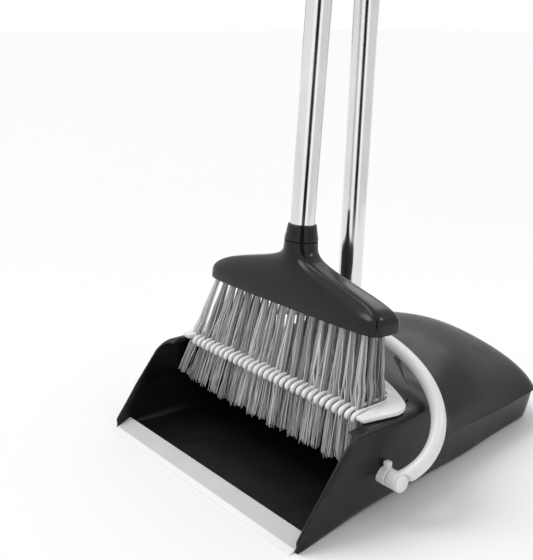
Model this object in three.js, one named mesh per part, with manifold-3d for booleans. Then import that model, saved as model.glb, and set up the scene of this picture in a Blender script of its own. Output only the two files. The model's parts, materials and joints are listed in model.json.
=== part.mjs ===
// Upright dust pan and brush set: a hooded pan on a swinging handle, a comb on the hood,
// and a long-handled broom clipped to the pan's pole with its bristles in the comb.
// Millimetres. Origin: centre of the pan's flat underside, on the floor. +Z up,
// -Y towards the lip, +Y towards the back of the hood, +X to the right seen from the lip.
import * as THREE from 'three';
import { mergeVertices } from 'three/addons/utils/BufferGeometryUtils.js';
import Module from 'manifold-3d';

const wasm = await Module();
wasm.setup();

// ---------------------------------------------------------------- driving dimensions
const GAP = 0.3; // clearance between touching pieces

// pan
const PAN_LENGTH = 312;
const LIP_Y = -150; // front edge of the lip
const REAR_Y = LIP_Y + PAN_LENGTH;
const PAN_HALF_WIDTH = 117; // outside of the side walls at the mouth
const PAN_REAR_HALF_WIDTH = 96;
const WALL = 2.4;
const SOLE_INSET = 17.5; // how much narrower the underside is than the walls, at the comb
const SOLE_INSET_LOSS = 6; // and how much less it is under the crest
const FRONT_TOP = 69; // top of the side walls, and the comb's seat
const SEAT_HALF_WIDTH = 106; // opening between the two walls' top flanges
const MOUTH_REAR_Y = -26; // back of that opening
const HOOD_TOP = 81; // crest of the hood
const CREST_Y = 60;
const CREASE_FRONT_Z = 36;
const CREASE_REAR_Z = 29;
const REAR_BOW_Y = 131; // where the back edge starts to round off

// lip and comb
const LIP_HALF_WIDTH = 113.6;
const LIP_DEPTH = 16.5;
const LIP_RISE = 7.4;
const COMB_THICKNESS = 3.2;
const COMB_HALF_WIDTH = 114.5;
const TEETH = 31;
const TOOTH_PITCH = 6.4;
const TOOTH_WIDTH = 2.6;
const TOOTH_TIP_Y = -79;

// handle, measured from the pivot axis with the pole upright
const PIVOT_Y = -68;
const PIVOT_Z = 31;
const HANDLE_LEAN = THREE.MathUtils.degToRad(2.4);
const BAIL_REACH = 75.1; // pole axis behind the pivot axis
const BAIL_RISE = 66; // centre of the bail's crown above the pivot axis
const BAIL_HALF_WIDTH = 138.9;
const BAIL_WIDEST = 25; // distance from the pivot axis to the widest place
const BAIL_RADIUS = 5.4;
const BAIL_CURL = 1.3; // how fast the arms curl in to the hubs
const SOCKET_DROP = 14; // how far the pole's socket reaches below the crown's centre
const HUB_RADIUS = 6.5;
const HUB_INNER_X = 123.7;
const HUB_OUTER_X = 133.2;
const AXLE_RADIUS = 3;
const LUG_SIZE = 4.4;
const LUG_TOP = 11.4; // above the pivot axis
const POLE_RADIUS = 9.5;
const POLE_WALL = 0.8;
const SLEEVE_RADIUS = 12;
const SLEEVE_LENGTH = 40;
const STUD_LENGTH = 56;
const PAN_SECTION = 241; // pitch of the pole's screwed sections
const PAN_FIRST_SLEEVE_Z = 349;
const PAN_GRIP_Z = 816; // lower end of the bent grip
const CLIP_Z = 804;
const CLIP_HEIGHT = 12;

// broom, measured from the middle of the head's underside, pole upright
const BROOM_Y = 18.1; // from the pivot axis
const BROOM_Z = 90.9;
const BROOM_LEAN = THREE.MathUtils.degToRad(2.3);
const HEAD_HALF_LENGTH = 97;
const HEAD_HALF_DEPTH = 17.4;
const NECK_RADIUS = 13;
const NECK_TOP = 49;
const COLLAR_TOP = 62;
const BRISTLE_TIP = -97;
const ROW_OFFSETS = [-10.5, 0, 10.5]; // tufts stand in three rows along the head
const ROW_BLADES = [28, 28, 26];
const ROW_THICKNESS = 6.8;
const BROOM_SECTION = 238;
const BROOM_FIRST_SLEEVE_Z = 305;
const BROOM_GRIP_Z = 1011;
const BROOM_TOP = 1150;

// ---------------------------------------------------------------- materials
const finish = (color, roughness, metalness = 0) =>
  new THREE.MeshStandardMaterial({ color, roughness, metalness });
const BLACK = finish(0x1c1c1d, 0.42);
const LIP_GREY = finish(0xd2d2d3, 0.6);
const WHITE = finish(0xf0f0ef, 0.35);
const STEEL = finish(0xd4d5d8, 0.16, 1);
const BRISTLE_GREY = finish(0x9b9b9d, 0.55);
const GRIP_BLACK = finish(0x202021, 0.5);
const SCREW_GREY = finish(0x8c8d90, 0.3, 1);

// ---------------------------------------------------------------- solids
// A closed geometry with only positions becomes a solid that can be cut and joined.
function solidOf(geometry) {
  const bare = geometry.clone();
  bare.deleteAttribute('normal');
  bare.deleteAttribute('uv');
  const merged = mergeVertices(bare, 1e-4);
  return new wasm.Manifold(new wasm.Mesh({
    numProp: 3,
    vertProperties: new Float32Array(merged.attributes.position.array),
    triVerts: new Uint32Array(merged.index.array),
  }));
}

function geometryOf(solid) {
  const mesh = solid.getMesh();
  const geometry = new THREE.BufferGeometry();
  geometry.setAttribute('position', new THREE.BufferAttribute(mesh.vertProperties, 3));
  geometry.setIndex(new THREE.BufferAttribute(mesh.triVerts, 1));
  return geometry;
}

// Joins rings of equal point counts into one closed skin with a fan on each end.
function loft(rings) {
  const count = rings[0].length;
  const points = rings.flat();
  const faces = [];
  for (let r = 0; r + 1 < rings.length; r += 1) {
    for (let k = 0; k < count; k += 1) {
      const a = r * count + k;
      const b = r * count + ((k + 1) % count);
      faces.push(a, b, b + count, a, b + count, a + count);
    }
  }
  const ends = [[rings[0], 0, true], [rings.at(-1), (rings.length - 1) * count, false]];
  for (const [ring, first, flip] of ends) {
    const centre = ring.reduce((sum, p) => sum.add(p), new THREE.Vector3()).divideScalar(count);
    const hub = points.push(centre) - 1;
    for (let k = 0; k < count; k += 1) {
      const a = first + k;
      const b = first + ((k + 1) % count);
      faces.push(...(flip ? [hub, b, a] : [hub, a, b]));
    }
  }
  const geometry = new THREE.BufferGeometry();
  geometry.setFromPoints(points);
  geometry.setIndex(faces);
  return geometry;
}

// Prism of a (y, z) outline between two x values.
function prismX(outline, x0, x1) {
  const shape = new THREE.Shape(outline.map(([y, z]) => new THREE.Vector2(y, z)));
  const geometry = new THREE.ExtrudeGeometry(shape, { depth: x1 - x0, bevelEnabled: false });
  // shape plane (x, y) becomes (y, z), and the depth runs along +X
  geometry.applyMatrix4(new THREE.Matrix4().set(0, 0, 1, x0, 1, 0, 0, 0, 0, 1, 0, 0, 0, 0, 0, 1));
  return geometry;
}

// Prism of a plan shape between two heights.
function prismZ(shape, z0, z1) {
  const settings = { depth: z1 - z0, bevelEnabled: false, curveSegments: 8 };
  const geometry = new THREE.ExtrudeGeometry(shape, settings);
  geometry.translate(0, 0, z0);
  return geometry;
}

// Lathe about the Z axis through (x, y); the profile is a list of [radius, z].
function turned(profile, segments = 24, x = 0, y = 0) {
  const geometry = new THREE.LatheGeometry(profile.map(([r, z]) => new THREE.Vector2(r, z)), segments);
  geometry.rotateX(Math.PI / 2);
  geometry.translate(x, y, 0);
  return geometry;
}

const tube = (inner, outer, z0, z1, segments = 24, x = 0, y = 0) =>
  turned([[inner, z0], [outer, z0], [outer, z1], [inner, z1], [inner, z0]], segments, x, y);

const rod = (radius, z0, z1, segments = 24, x = 0, y = 0) =>
  turned([[0, z0], [radius, z0], [radius, z1], [0, z1]], segments, x, y);

// Turns a Z-axis piece onto the X axis, so that height becomes x.
function alongX(geometry, y, z) {
  geometry.rotateY(Math.PI / 2);
  geometry.translate(0, y, z);
  return geometry;
}

const box = (x0, x1, y0, y1, z0, z1) => {
  const geometry = new THREE.BoxGeometry(x1 - x0, y1 - y0, z1 - z0);
  geometry.translate((x0 + x1) / 2, (y0 + y1) / 2, (z0 + z1) / 2);
  return geometry;
};

const lerp = THREE.MathUtils.lerp;
const ease = (from, to, value) => THREE.MathUtils.smoothstep(value, from, to);

// Signed power, for superellipse outlines.
const spow = (value, power) => Math.sign(value) * Math.abs(value) ** power;

const root = new THREE.Group();
root.name = 'dust_pan_and_brush_set';

function place(parent, name, geometry, material) {
  const mesh = new THREE.Mesh(geometry, material);
  mesh.name = name;
  parent.add(mesh);
  return mesh;
}

// ---------------------------------------------------------------- pan
// Half-width of the body at its crease for a station y.
function halfWidth(y) {
  const straight = lerp(PAN_HALF_WIDTH, PAN_REAR_HALF_WIDTH, ease(-70, REAR_BOW_Y + 60, y));
  const past = Math.max(0, (y - REAR_BOW_Y) / (REAR_Y - REAR_BOW_Y));
  return straight * (1 - past ** 3) ** 0.5;
}

// Height of the hood's middle for a station y: level at the comb, then a crest, then an
// elliptical fall to the back edge.
function crownHeight(y) {
  if (y < CREST_Y) return lerp(FRONT_TOP, HOOD_TOP, ease(-5, CREST_Y + 10, y));
  const past = (y - CREST_Y) / (REAR_Y - CREST_Y);
  return CREASE_REAR_Z + (HOOD_TOP - 0.5 - CREASE_REAR_Z) * Math.sqrt(Math.max(0, 1 - past ** 2));
}

const creaseHeight = (y) => lerp(CREASE_FRONT_Z, CREASE_REAR_Z, ease(-20, 110, y));

// Squareness of the arch: nearly a box at the mouth, a soft dome towards the back.
const archPower = (y) => lerp(lerp(24, 2.6, ease(-52, 10, y)), 1.75, ease(10, 130, y));

// The underside is flat on the floor, and turns up at the back.
const soleHeight = (y) => {
  const past = Math.max(0, (y - 138) / (REAR_Y - 138));
  return (CREASE_REAR_Z - 2) * (1 - Math.sqrt(Math.max(0, 1 - past ** 2)));
};

// How far the underside's edge lies inside the crease.
const soleInset = (y) => SOLE_INSET * ease(LIP_Y - 10, -44, y) - SOLE_INSET_LOSS * ease(-30, CREST_Y, y);

const ARCH_STEPS = 9;
// The wall below the crease, as shares of its slant and its height: a rounded foot, then flat.
const LOWER_WALL = [[0, 0], [0.36, 0.07], [0.58, 0.3], [0.8, 0.64]];

// One cross-section of the body, `skin` millimetres inside the outer surface.
function panRing(y, skin) {
  const wide = Math.max(halfWidth(y) - skin, 0.6);
  const crease = creaseHeight(y);
  const top = Math.max(crownHeight(y) - skin, crease + 0.4);
  const sole = soleHeight(y) + skin;
  const step = 2.2 * ease(0, 90, y);
  const foot = Math.max(wide - soleInset(y), wide * 0.4);
  const half = LOWER_WALL.map(([slant, rise]) => [
    lerp(foot, wide - step, slant), lerp(sole, crease - 1.6, rise)]);
  half.push([wide - step, crease - 1.6]);
  for (let i = 0; i <= ARCH_STEPS; i += 1) {
    const turn = (i / ARCH_STEPS) * (Math.PI / 2);
    const power = 2 / archPower(y);
    half.push([wide * spow(Math.cos(turn), power), crease + (top - crease) * spow(Math.sin(turn), power)]);
  }
  const left = half.slice(0, -1).reverse().map(([x, z]) => [-x, z]);
  return [...half, ...left].map(([x, z]) => new THREE.Vector3(x, y, z));
}

function panLoft(skin, yStart, yEnd, steps) {
  const rings = [];
  for (let i = 0; i <= steps; i += 1) {
    // stations crowd together towards the back, where the outline turns
    const t = Math.sin((i / steps) * (Math.PI / 2));
    rings.push(panRing(lerp(yStart, yEnd, t), skin).reverse());
  }
  return solidOf(loft(rings));
}

// Side view of the mouth: a straight slanted edge, a rounded shoulder, then the level top.
function mouthOutline() {
  const outline = [[LIP_Y - 20, 2.2], [LIP_Y + 5, 2.2], [LIP_Y + 4.6, 8]];
  const shoulder = new THREE.Vector2(LIP_Y + 61, 52);
  const radius = 19;
  for (let i = 0; i <= 6; i += 1) {
    const angle = THREE.MathUtils.degToRad(lerp(143, 90, i / 6));
    outline.push([shoulder.x + radius * Math.cos(angle), shoulder.y + radius * Math.sin(angle) - 1.8]);
  }
  outline.push([LIP_Y + 62, 140], [LIP_Y - 20, 140]);
  return outline;
}

// Front boundary of the hood in plan, a little inside the comb's band.
function mouthPlan(halfWide, frontY, rearY, bow, corner) {
  const shape = new THREE.Shape();
  shape.moveTo(-halfWide, frontY);
  shape.lineTo(halfWide, frontY);
  shape.lineTo(halfWide, rearY - corner - bow);
  shape.quadraticCurveTo(halfWide, rearY - bow, halfWide - corner, rearY - bow * 0.75);
  shape.quadraticCurveTo(halfWide * 0.4, rearY, 0, rearY);
  shape.quadraticCurveTo(-halfWide * 0.4, rearY, -halfWide + corner, rearY - bow * 0.75);
  shape.quadraticCurveTo(-halfWide, rearY - bow, -halfWide, rearY - corner - bow);
  shape.closePath();
  return shape;
}

function panBody() {
  const outer = panLoft(0, LIP_Y + 3, REAR_Y, 24);
  const inner = panLoft(WALL, LIP_Y - 5, REAR_Y - WALL, 20);
  const ramp = solidOf(prismX(
    [[LIP_Y + 4, 0], [LIP_Y + 4, 0.4], [LIP_Y + LIP_DEPTH + 1.4, LIP_RISE - 1.6], [LIP_Y + 60, WALL + 0.1],
      [LIP_Y + 60, 0]],
    -LIP_HALF_WIDTH, LIP_HALF_WIDTH)).intersect(outer);
  const frontCut = solidOf(prismX(mouthOutline(), -PAN_HALF_WIDTH - 5, PAN_HALF_WIDTH + 5));
  const topCut = solidOf(prismZ(mouthPlan(SEAT_HALF_WIDTH, LIP_Y - 10, MOUTH_REAR_Y, 10, 14), 40, 120));
  const stubHoles = [-1, 1].map((side) => solidOf(alongX(
    rod(AXLE_RADIUS + GAP, side * 100 - 20, side * 100 + 20, 20), PIVOT_Y, PIVOT_Z)));
  const lipPocket = solidOf(prismX(
    [[LIP_Y - 20, -5], [LIP_Y + 4.4, -5], [LIP_Y + 4.4, 0], [LIP_Y + LIP_DEPTH + 1.8, LIP_RISE - 1.1],
      [LIP_Y + LIP_DEPTH + 0.4, LIP_RISE + 0.6], [LIP_Y + 3.2, 2.6], [LIP_Y - 20, 1.2]],
    -LIP_HALF_WIDTH - GAP, LIP_HALF_WIDTH + GAP));
  let body = outer.subtract(inner).add(ramp).subtract(frontCut).subtract(topCut).subtract(lipPocket);
  for (const hole of stubHoles) body = body.subtract(hole);
  return geometryOf(body);
}
place(root, 'pan_body', panBody(), BLACK);

// Soft strip along the mouth: a thin bevelled front edge, then a flat grey band on the ramp.
place(root, 'lip_strip', prismX(
  [[LIP_Y, 0], [LIP_Y + 3.6, 0], [LIP_Y + LIP_DEPTH + 1, LIP_RISE - 1.1], [LIP_Y + LIP_DEPTH, LIP_RISE],
    [LIP_Y + 3.4, 1.9], [LIP_Y, 0.7]],
  -LIP_HALF_WIDTH, LIP_HALF_WIDTH), LIP_GREY);

// ---------------------------------------------------------------- comb
// Height of the comb's underside: it rests on the hood's front edge.
const COMB_Z = FRONT_TOP + GAP;

function toothOutline(rootY) {
  const tipLow = COMB_Z - 4.6;
  return [[rootY, COMB_Z], [rootY, COMB_Z + COMB_THICKNESS], [TOOTH_TIP_Y + 3.2, COMB_Z + COMB_THICKNESS],
    [TOOTH_TIP_Y + 1, COMB_Z + 2.2], [TOOTH_TIP_Y, COMB_Z], [TOOTH_TIP_Y, tipLow + 1.2],
    [TOOTH_TIP_Y + 1.4, tipLow], [TOOTH_TIP_Y + 3.2, tipLow + 1.2], [TOOTH_TIP_Y + 4.2, COMB_Z]];
}

function combSolid() {
  const outer = new THREE.Shape();
  outer.moveTo(-COMB_HALF_WIDTH + 5, TOOTH_TIP_Y - 1);
  outer.lineTo(-COMB_HALF_WIDTH + 12, TOOTH_TIP_Y - 1);
  outer.lineTo(-COMB_HALF_WIDTH + 12, MOUTH_REAR_Y - 24);
  outer.quadraticCurveTo(-COMB_HALF_WIDTH + 14, MOUTH_REAR_Y - 10, -COMB_HALF_WIDTH + 32, MOUTH_REAR_Y - 7);
  outer.quadraticCurveTo(-40, MOUTH_REAR_Y - 3, 0, MOUTH_REAR_Y - 3);
  outer.quadraticCurveTo(40, MOUTH_REAR_Y - 3, COMB_HALF_WIDTH - 32, MOUTH_REAR_Y - 7);
  outer.quadraticCurveTo(COMB_HALF_WIDTH - 14, MOUTH_REAR_Y - 10, COMB_HALF_WIDTH - 12, MOUTH_REAR_Y - 24);
  outer.lineTo(COMB_HALF_WIDTH - 12, TOOTH_TIP_Y - 1);
  outer.lineTo(COMB_HALF_WIDTH - 5, TOOTH_TIP_Y - 1);
  outer.lineTo(COMB_HALF_WIDTH, -53);
  outer.quadraticCurveTo(COMB_HALF_WIDTH + 0.5, -43, COMB_HALF_WIDTH - 8, -37);
  outer.quadraticCurveTo(60, -7, 0, -6);
  outer.quadraticCurveTo(-60, -7, -COMB_HALF_WIDTH + 8, -37);
  outer.quadraticCurveTo(-COMB_HALF_WIDTH - 0.5, -43, -COMB_HALF_WIDTH, -53);
  outer.closePath();
  let comb = solidOf(prismZ(outer, COMB_Z, COMB_Z + COMB_THICKNESS));
  for (let i = 0; i < TEETH; i += 1) {
    const x = (i - (TEETH - 1) / 2) * TOOTH_PITCH;
    const rootY = MOUTH_REAR_Y - 0.5 - 8 * (Math.abs(x) / 98) ** 6;
    comb = comb.add(solidOf(prismX(toothOutline(rootY), x - TOOTH_WIDTH / 2, x + TOOTH_WIDTH / 2)));
  }
  return geometryOf(comb);
}
place(root, 'comb', combSolid(), WHITE);

// ---------------------------------------------------------------- pivots on the pan
const BORE_RADIUS = AXLE_RADIUS + GAP;
const AXLE_END_X = HUB_OUTER_X - 3.2;
const STUB_HEAD_X = 111;
const besidePan = panLoft(-GAP, LIP_Y + 3, REAR_Y, 24);
for (const [side, name] of [[-1, 'left'], [1, 'right']]) {
  // stub axle through the wall, with a head inside the pan
  const stub = alongX(turned([[0, STUB_HEAD_X - 2.4], [5.4, STUB_HEAD_X - 2.4], [5.4, STUB_HEAD_X],
    [AXLE_RADIUS, STUB_HEAD_X], [AXLE_RADIUS, AXLE_END_X], [0, AXLE_END_X]], 20), PIVOT_Y, PIVOT_Z);
  if (side < 0) stub.rotateY(Math.PI).translate(0, 0, 2 * PIVOT_Z);
  // bush that fits the wall's slant, with the stop lug on top of it
  const mirrored = (x0, x1) => (side < 0 ? [-x1, -x0] : [x0, x1]);
  const barrel = alongX(tube(BORE_RADIUS, HUB_RADIUS, ...mirrored(PAN_HALF_WIDTH - 7, HUB_INNER_X - GAP), 28),
    PIVOT_Y, PIVOT_Z);
  const lugX = HUB_INNER_X - 0.6 - LUG_SIZE;
  const lug = box(...mirrored(lugX, lugX + LUG_SIZE), PIVOT_Y - LUG_SIZE / 2, PIVOT_Y + LUG_SIZE / 2,
    PIVOT_Z + 5, PIVOT_Z + LUG_TOP);
  const bush = geometryOf(solidOf(barrel).subtract(besidePan).add(solidOf(lug)));
  place(root, `pivot_stub_${name}`, stub, BLACK);
  place(root, `pivot_bush_${name}`, bush, WHITE);
}

// ---------------------------------------------------------------- handle
const handle = new THREE.Group();
handle.position.set(0, PIVOT_Y, PIVOT_Z);
handle.rotation.x = -HANDLE_LEAN;
root.add(handle);

const BAIL_LENGTH = Math.hypot(BAIL_REACH, BAIL_RISE);
const BAIL_TILT = Math.atan2(BAIL_RISE, BAIL_REACH);

// The bail's centre line is an ellipse in a plane that leans back from the pivot axis.
class BailCurve extends THREE.Curve {
  getPoint(t, target = new THREE.Vector3()) {
    const start = Math.asin(-BAIL_WIDEST / (BAIL_LENGTH - BAIL_WIDEST));
    const angle = lerp(start, Math.PI - start, t);
    // below its widest place the arm curls in more, to meet the hub
    const x = BAIL_HALF_WIDTH * spow(Math.cos(angle), angle < 0 || angle > Math.PI ? BAIL_CURL : 1);
    const s = BAIL_WIDEST + (BAIL_LENGTH - BAIL_WIDEST) * Math.sin(angle);
    return target.set(x, s * Math.cos(BAIL_TILT), s * Math.sin(BAIL_TILT));
  }
}

function bail() {
  const section = new THREE.Shape();
  section.absarc(0, 0, BAIL_RADIUS, 0, Math.PI * 2);
  const arch = solidOf(new THREE.ExtrudeGeometry(section, {
    steps: 40, curveSegments: 5, bevelEnabled: false, extrudePath: new BailCurve(),
  }));
  let solid = arch;
  for (const side of [-1, 1]) {
    const hub = alongX(rod(HUB_RADIUS, HUB_INNER_X, HUB_OUTER_X, 28), 0, 0);
    if (side < 0) hub.rotateZ(Math.PI);
    solid = solid.add(solidOf(hub));
  }
  const socketLow = BAIL_RISE - SOCKET_DROP;
  const socketTop = BAIL_RISE + 20;
  const socket = turned([[0, socketLow], [11.2, socketLow], [12.6, socketLow + 2], [13, socketTop - 2],
    [12.2, socketTop], [0, socketTop]], 24, 0, BAIL_REACH);
  solid = solid.add(solidOf(socket));
  solid = solid.subtract(solidOf(rod(POLE_RADIUS + GAP, socketLow + 4, socketTop + 10, 24, 0, BAIL_REACH)));
  for (const side of [-1, 1]) {
    const bore = alongX(rod(BORE_RADIUS, HUB_INNER_X - 12, AXLE_END_X + GAP, 20), 0, 0);
    const flank = box(90, HUB_INNER_X, -12, 12, -12, 12);
    const capSeat = alongX(rod(HUB_RADIUS + 0.4, HUB_OUTER_X, HUB_OUTER_X + 20, 28), 0, 0);
    for (const cutter of [bore, flank, capSeat]) {
      if (side < 0) cutter.rotateZ(Math.PI);
      solid = solid.subtract(solidOf(cutter));
    }
  }
  return geometryOf(solid);
}
place(handle, 'bail', bail(), WHITE);

for (const [side, name] of [[-1, 'left'], [1, 'right']]) {
  const outer = HUB_OUTER_X + GAP;
  const cap = alongX(turned([[0, outer], [6.2, outer], [6, outer + 1], [4.8, outer + 1.8], [0, outer + 2.2]],
    28), 0, 0);
  if (side < 0) cap.rotateZ(Math.PI);
  place(handle, `pivot_cap_${name}`, cap, WHITE);
}

// Steel tubes butt inside each sleeve, and a threaded stud fills the joint.
function poleSections(parent, prefix, y, ends) {
  for (let i = 0; i + 1 < ends.length; i += 1) {
    const low = ends[i] + (i > 0 ? GAP / 2 : 0);
    const high = ends[i + 1] - (i + 2 < ends.length ? GAP / 2 : 0);
    const section = tube(POLE_RADIUS - POLE_WALL, POLE_RADIUS, low, high, 24, 0, y);
    place(parent, `${prefix}_pole_${i + 1}`, section, STEEL);
  }
  for (let i = 1; i + 1 < ends.length; i += 1) {
    const z = ends[i];
    const bore = POLE_RADIUS + GAP;
    const half = SLEEVE_LENGTH / 2;
    const sleeve = turned([[bore, z - half], [SLEEVE_RADIUS - 0.7, z - half], [SLEEVE_RADIUS, z - half + 1.2],
      [SLEEVE_RADIUS, z + half - 1.2], [SLEEVE_RADIUS - 0.7, z + half], [bore, z + half],
      [bore, z - half]], 24, 0, y);
    place(parent, `${prefix}_sleeve_${i}`, sleeve, WHITE);
    const stud = turned([[0, z - STUD_LENGTH / 2], [6.6, z - STUD_LENGTH / 2], [8.3, z - STUD_LENGTH / 2 + 3],
      [8.3, z + STUD_LENGTH / 2 - 3], [6.6, z + STUD_LENGTH / 2], [0, z + STUD_LENGTH / 2]], 24, 0, y);
    place(parent, `${prefix}_stud_${i}`, stud, WHITE);
  }
}
const panPoleEnds = [BAIL_RISE - SOCKET_DROP + 4 + GAP, PAN_FIRST_SLEEVE_Z,
  PAN_FIRST_SLEEVE_Z + PAN_SECTION, PAN_GRIP_Z + 24];
poleSections(handle, 'pan', BAIL_REACH, panPoleEnds);

// Bent grip: a socket on the pole, a knee with a small heel, an arm that swells to a ball.
function panGrip() {
  const socket = turned([[0, PAN_GRIP_Z], [11.4, PAN_GRIP_Z], [11.6, PAN_GRIP_Z + 26], [0, PAN_GRIP_Z + 30]],
    28, 0, BAIL_REACH);
  // stations along the arm: reach, height above the socket's foot, half-width, half-height
  const stations = [[-12.5, 30.5, 3, 2.6], [-9, 27.5, 8.5, 8.5], [0, 26, 11.4, 13.5], [12, 30.5, 12.2, 14.5],
    [28, 37.5, 12, 13.2], [48, 46, 12, 12.6], [68, 54, 12.4, 12.8], [84, 60, 13.8, 14], [98, 65, 15, 15.2],
    [108, 68.6, 13.2, 13.4], [114, 70.8, 8.6, 8.8], [116.4, 71.6, 2.4, 2.4]];
  const rings = stations.map(([reach, rise, wide, high], i) => {
    const next = stations[Math.min(i + 1, stations.length - 1)];
    const last = stations[Math.max(i - 1, 0)];
    const along = new THREE.Vector2(next[0] - last[0], next[1] - last[1]).normalize();
    return Array.from({ length: 18 }, (_, k) => {
      const turn = (k / 18) * Math.PI * 2;
      const up = high * Math.sin(turn);
      return new THREE.Vector3(wide * Math.cos(turn), BAIL_REACH + reach - up * along.y,
        PAN_GRIP_Z + rise + up * along.x);
    });
  });
  let solid = solidOf(loft(rings.map((ring) => ring.reverse()))).add(solidOf(socket));
  // finger slots across the underside of the arm
  for (let i = 0; i < 8; i += 1) {
    const reach = 22 + i * 8.4;
    const rise = 35 + (reach - 22) * 0.405 - 14.2;
    const slot = new THREE.BoxGeometry(40, 3.2, 5);
    slot.rotateX(0.38);
    slot.translate(0, BAIL_REACH + reach, PAN_GRIP_Z + rise);
    solid = solid.subtract(solidOf(slot));
  }
  return geometryOf(solid.subtract(solidOf(
    rod(POLE_RADIUS + GAP, PAN_GRIP_Z - 5, PAN_GRIP_Z + 24.5, 24, 0, BAIL_REACH))));
}
place(handle, 'pan_grip', panGrip(), GRIP_BLACK);

// The clip rings the pan's pole under the grip, and its open jaws hold the broom's pole.
const BROOM_AT_CLIP_Y = BROOM_Y + (CLIP_Z + CLIP_HEIGHT / 2 - BROOM_Z) * Math.tan(BROOM_LEAN);

function broomClip() {
  const top = CLIP_Z + CLIP_HEIGHT - GAP;
  const jawOuter = POLE_RADIUS + 3.4;
  let clip = solidOf(rod(12.8, CLIP_Z, top, 24, 0, BAIL_REACH));
  clip = clip.add(solidOf(rod(jawOuter, CLIP_Z, top, 24, 0, BROOM_AT_CLIP_Y)));
  clip = clip.add(solidOf(box(-4, 4, BROOM_AT_CLIP_Y, BAIL_REACH, CLIP_Z, top)));
  clip = clip.subtract(solidOf(rod(POLE_RADIUS + GAP, CLIP_Z - 5, top + 5, 24, 0, BAIL_REACH)));
  const grooveRadius = POLE_RADIUS + 0.6;
  clip = clip.subtract(solidOf(rod(grooveRadius, CLIP_Z - 5, top + 5, 24, 0, BROOM_AT_CLIP_Y)));
  clip = clip.subtract(solidOf(box(-grooveRadius, grooveRadius, BROOM_AT_CLIP_Y - 30, BROOM_AT_CLIP_Y,
    CLIP_Z - 5, top + 5)));
  return geometryOf(clip);
}
place(handle, 'broom_clip', broomClip(), GRIP_BLACK);

// ---------------------------------------------------------------- broom
const broom = new THREE.Group();
broom.position.set(0, BROOM_Y, BROOM_Z);
broom.rotation.x = -BROOM_LEAN;
handle.add(broom);

// Head: stations of [height, half-length, half-depth at the middle, half-depth at the ends, squareness].
const HEAD_STATIONS = [[0, 96, 16.6, 16.2, 6.5], [2, 97, 17.4, 16.8, 6.5], [9, 97, 17.2, 16.2, 6.5],
  [13.5, 94.5, 16.9, 14.6, 5.5], [17, 89, 16.5, 12.6, 5], [20.5, 80, 16, 11, 4.6], [24, 67, 15.5, 9.8, 4.2],
  [27.5, 53, 15, 9.4, 3.8], [31.5, 39, 14.4, 9.6, 3.2], [36, 26.5, 13.8, 10.6, 2.6],
  [41.5, 17, 13.2, 12, 2.2], [NECK_TOP, NECK_RADIUS, NECK_RADIUS, NECK_RADIUS, 2]];
const END_TAPER = 1.3; // how late along the head its depth draws in to the ends

function headRing([z, long, deep, endDeep, square]) {
  return Array.from({ length: 40 }, (_, k) => {
    const turn = (k / 40) * Math.PI * 2;
    const out = spow(Math.cos(turn), 2 / square);
    const depth = THREE.MathUtils.lerp(deep, endDeep, Math.abs(out) ** END_TAPER);
    return new THREE.Vector3(long * out, depth * spow(Math.sin(turn), 2 / square), z);
  });
}

const SOCKET_FLOOR = 18;
const head = solidOf(loft(HEAD_STATIONS.map(headRing)))
  .subtract(solidOf(rod(POLE_RADIUS + GAP, SOCKET_FLOOR, NECK_TOP + 10)))
  .subtract(solidOf(box(-HEAD_HALF_LENGTH + 5, HEAD_HALF_LENGTH - 5, -HEAD_HALF_DEPTH + 1.9,
    HEAD_HALF_DEPTH - 1.9, -5, 6)));
place(broom, 'broom_head', geometryOf(head), BLACK);

place(broom, 'head_collar', turned([[POLE_RADIUS + GAP, NECK_TOP + GAP], [NECK_RADIUS, NECK_TOP + GAP],
  [NECK_RADIUS - 0.4, NECK_TOP + 5], [10.9, COLLAR_TOP], [POLE_RADIUS + GAP, COLLAR_TOP],
  [POLE_RADIUS + GAP, NECK_TOP + GAP]], 24), BLACK);

// Plate that carries the tufts, let into the underside of the head.
place(broom, 'tuft_plate', box(-HEAD_HALF_LENGTH + 5.4, HEAD_HALF_LENGTH - 5.4, -HEAD_HALF_DEPTH + 2.3,
  HEAD_HALF_DEPTH - 2.3, 1, 5.6), BLACK);

// Each row is one solid: joined under the head, then split into blades that pass between
// the comb's teeth.
function bristleRow(y, blades) {
  const bladeTop = -16;
  const top = 1 - GAP;
  const bladeHalf = (TOOTH_PITCH - TOOTH_WIDTH) / 2 - 0.45;
  const shape = new THREE.Shape();
  const first = -(blades / 2) * TOOTH_PITCH + TOOTH_PITCH / 2;
  shape.moveTo(-first + bladeHalf, top);
  shape.lineTo(first - bladeHalf, top);
  for (let i = 0; i < blades; i += 1) {
    const x = first + i * TOOTH_PITCH;
    if (i > 0) shape.lineTo(x - bladeHalf, bladeTop);
    shape.lineTo(x - bladeHalf, BRISTLE_TIP);
    shape.lineTo(x + bladeHalf, BRISTLE_TIP);
    if (i + 1 < blades) shape.lineTo(x + bladeHalf, bladeTop);
  }
  shape.closePath();
  const geometry = new THREE.ExtrudeGeometry(shape, { depth: ROW_THICKNESS, bevelEnabled: false });
  geometry.rotateX(Math.PI / 2);
  geometry.translate(0, y + ROW_THICKNESS / 2, 0);
  return geometry;
}
ROW_OFFSETS.forEach((offset, i) => place(broom, `bristle_row_${i + 1}`, bristleRow(offset, ROW_BLADES[i]),
  BRISTLE_GREY));

const broomPoleEnds = [SOCKET_FLOOR + GAP, ...[0, 1, 2].map((i) => BROOM_FIRST_SLEEVE_Z + i * BROOM_SECTION),
  BROOM_GRIP_Z + 34];
poleSections(broom, 'broom', 0, broomPoleEnds);

// Top grip: a flared mouth, a slim waist and a flattened end with a hanging eye.
const EYE_Z = BROOM_TOP - 15;
const EYE_RADIUS = 8.6;

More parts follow.
